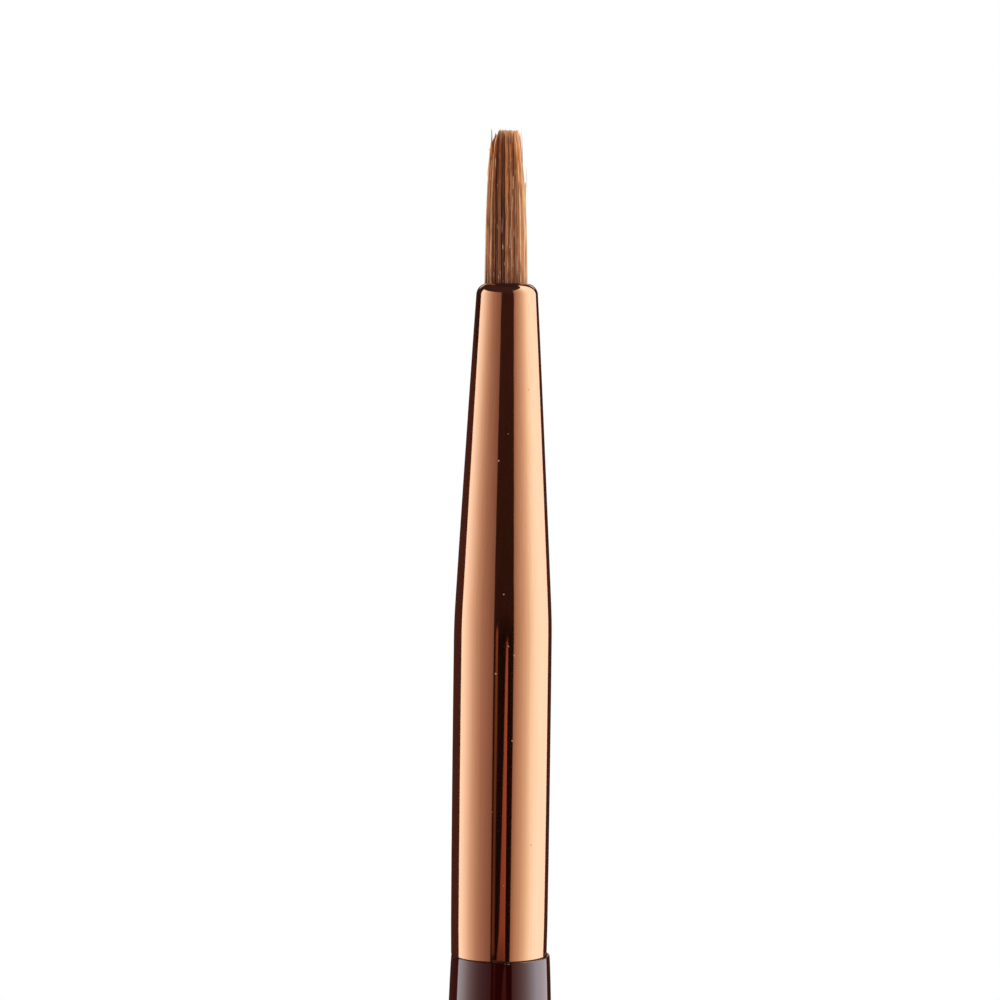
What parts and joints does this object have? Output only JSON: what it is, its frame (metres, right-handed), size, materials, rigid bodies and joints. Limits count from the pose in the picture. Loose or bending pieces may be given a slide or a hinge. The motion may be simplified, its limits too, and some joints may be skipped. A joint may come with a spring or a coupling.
{
  "type": "fine detail brush",
  "caption": "Slim artist's detail brush: gloss lacquered wooden handle with a soft swell, tapered copper-toned ferrule and a small flat-cut tuft of golden-brown hair.",
  "frame": {"origin": "lowest point of the round butt of the handle, on the brush's axis", "axes": "+Z along the brush from the butt to the tip of the hair, X the wide way of the tuft, Y its thin way"},
  "size_m": [0.0052, 0.0052, 0.175],
  "materials": {
    "wood": "bare straight-grained wood, inside the lacquer and the ferrule",
    "lacquer": "deep burgundy-brown gloss lacquer, smooth, with sharp reflections",
    "plating": "polished copper-toned plating on a drawn metal tube, with faint drawing lines",
    "glue": "hardened amber glue",
    "resin": "clear amber setting resin",
    "thread": "waxed binding thread",
    "hair": "fine golden-brown hair with darker roots, slightly glossy along each hair"
  },
  "bodies": {
    "brush": {"handle_core": "wood", "handle_lacquer": "lacquer", "tenon_glue": "glue", "seam_glue": "glue", "ferrule": "plating", "setting_resin": "resin", "hair_root_bundle": "hair", "binding_thread": "thread"},
    "tuft": {"hair_lock_core": "hair", "hair_lock_inner_1": "hair", "hair_lock_inner_2": "hair", "hair_lock_inner_3": "hair", "hair_lock_inner_4": "hair", "hair_lock_inner_5": "hair", "hair_lock_inner_6": "hair", "hair_lock_outer_1": "hair", "hair_lock_outer_2": "hair", "hair_lock_outer_3": "hair", "hair_lock_outer_4": "hair", "hair_lock_outer_5": "hair", "hair_lock_outer_6": "hair", "hair_lock_outer_7": "hair", "hair_lock_outer_8": "hair", "hair_lock_outer_9": "hair", "hair_lock_outer_10": "hair", "hair_lock_outer_11": "hair", "hair_lock_outer_12": "hair"}
  },
  "joints": [
    {"name": "tuft_bend", "type": "hinge", "parent": "brush", "child": "tuft", "pos_m": [0, 0, 0.1685], "axis": [0, 1, 0], "range_deg": [-30, 30], "stiffness_Nm_per_rad": 0.0006}
  ]
}
